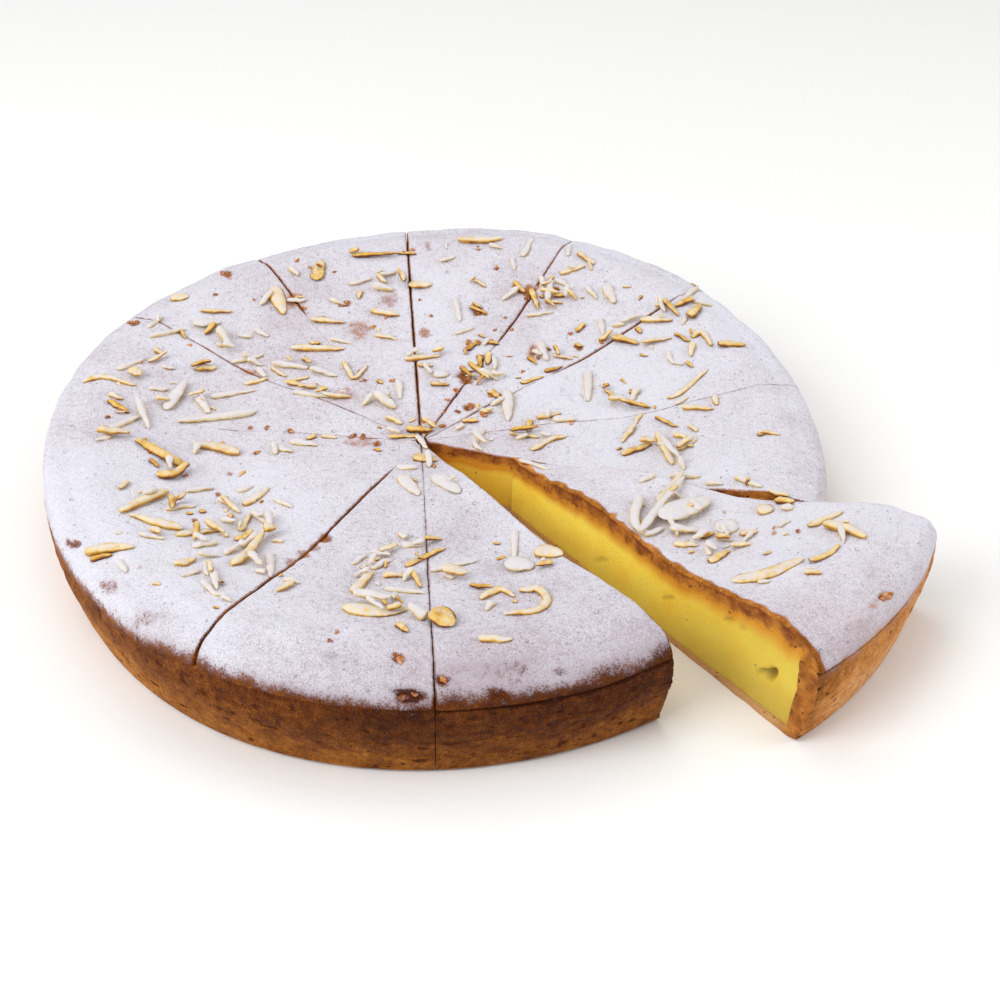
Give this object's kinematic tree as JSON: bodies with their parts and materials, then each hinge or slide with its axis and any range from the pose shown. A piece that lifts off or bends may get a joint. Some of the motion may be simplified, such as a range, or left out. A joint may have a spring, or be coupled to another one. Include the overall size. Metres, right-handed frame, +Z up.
{
  "type": "custard tart",
  "caption": "Round lidded custard tart with icing sugar and almond slivers, cut into slices, one of them drawn partly out.",
  "frame": {"origin": "middle of the bounding box of the underside, on the surface that the tart lies on", "axes": "+Z up, +X towards the side where the drawn slice sticks out, -Y the front"},
  "size_m": [0.3024, 0.2802, 0.0422],
  "materials": {
    "pastry": "baked shortcrust, golden brown, dull",
    "custard": "set egg custard, moist, soft sheen",
    "sugared_lid": "pastry lid under icing sugar, powdery, dull",
    "almond": "toasted slivered almond, cream with golden edges, dusted with sugar"
  },
  "bodies": {
    "root": {"base_01": "pastry", "custard_01": "custard", "lid_01": "sugared_lid", "base_02": "pastry", "custard_02": "custard", "lid_02": "sugared_lid", "base_03": "pastry", "custard_03": "custard", "lid_03": "sugared_lid", "base_04": "pastry", "custard_04": "custard", "lid_04": "sugared_lid", "base_05": "pastry", "custard_05": "custard", "lid_05": "sugared_lid", "base_06": "pastry", "custard_06": "custard", "lid_06": "sugared_lid", "base_07": "pastry", "custard_07": "custard", "lid_07": "sugared_lid", "base_08": "pastry", "custard_08": "custard", "lid_08": "sugared_lid", "base_09": "pastry", "custard_09": "custard", "lid_09": "sugared_lid", "base_10": "pastry", "custard_10": "custard", "lid_10": "sugared_lid", "base_11": "pastry", "custard_11": "custard", "lid_11": "sugared_lid", "base_12": "pastry", "custard_12": "custard", "lid_12": "sugared_lid"}
  },
  "joints": []
}
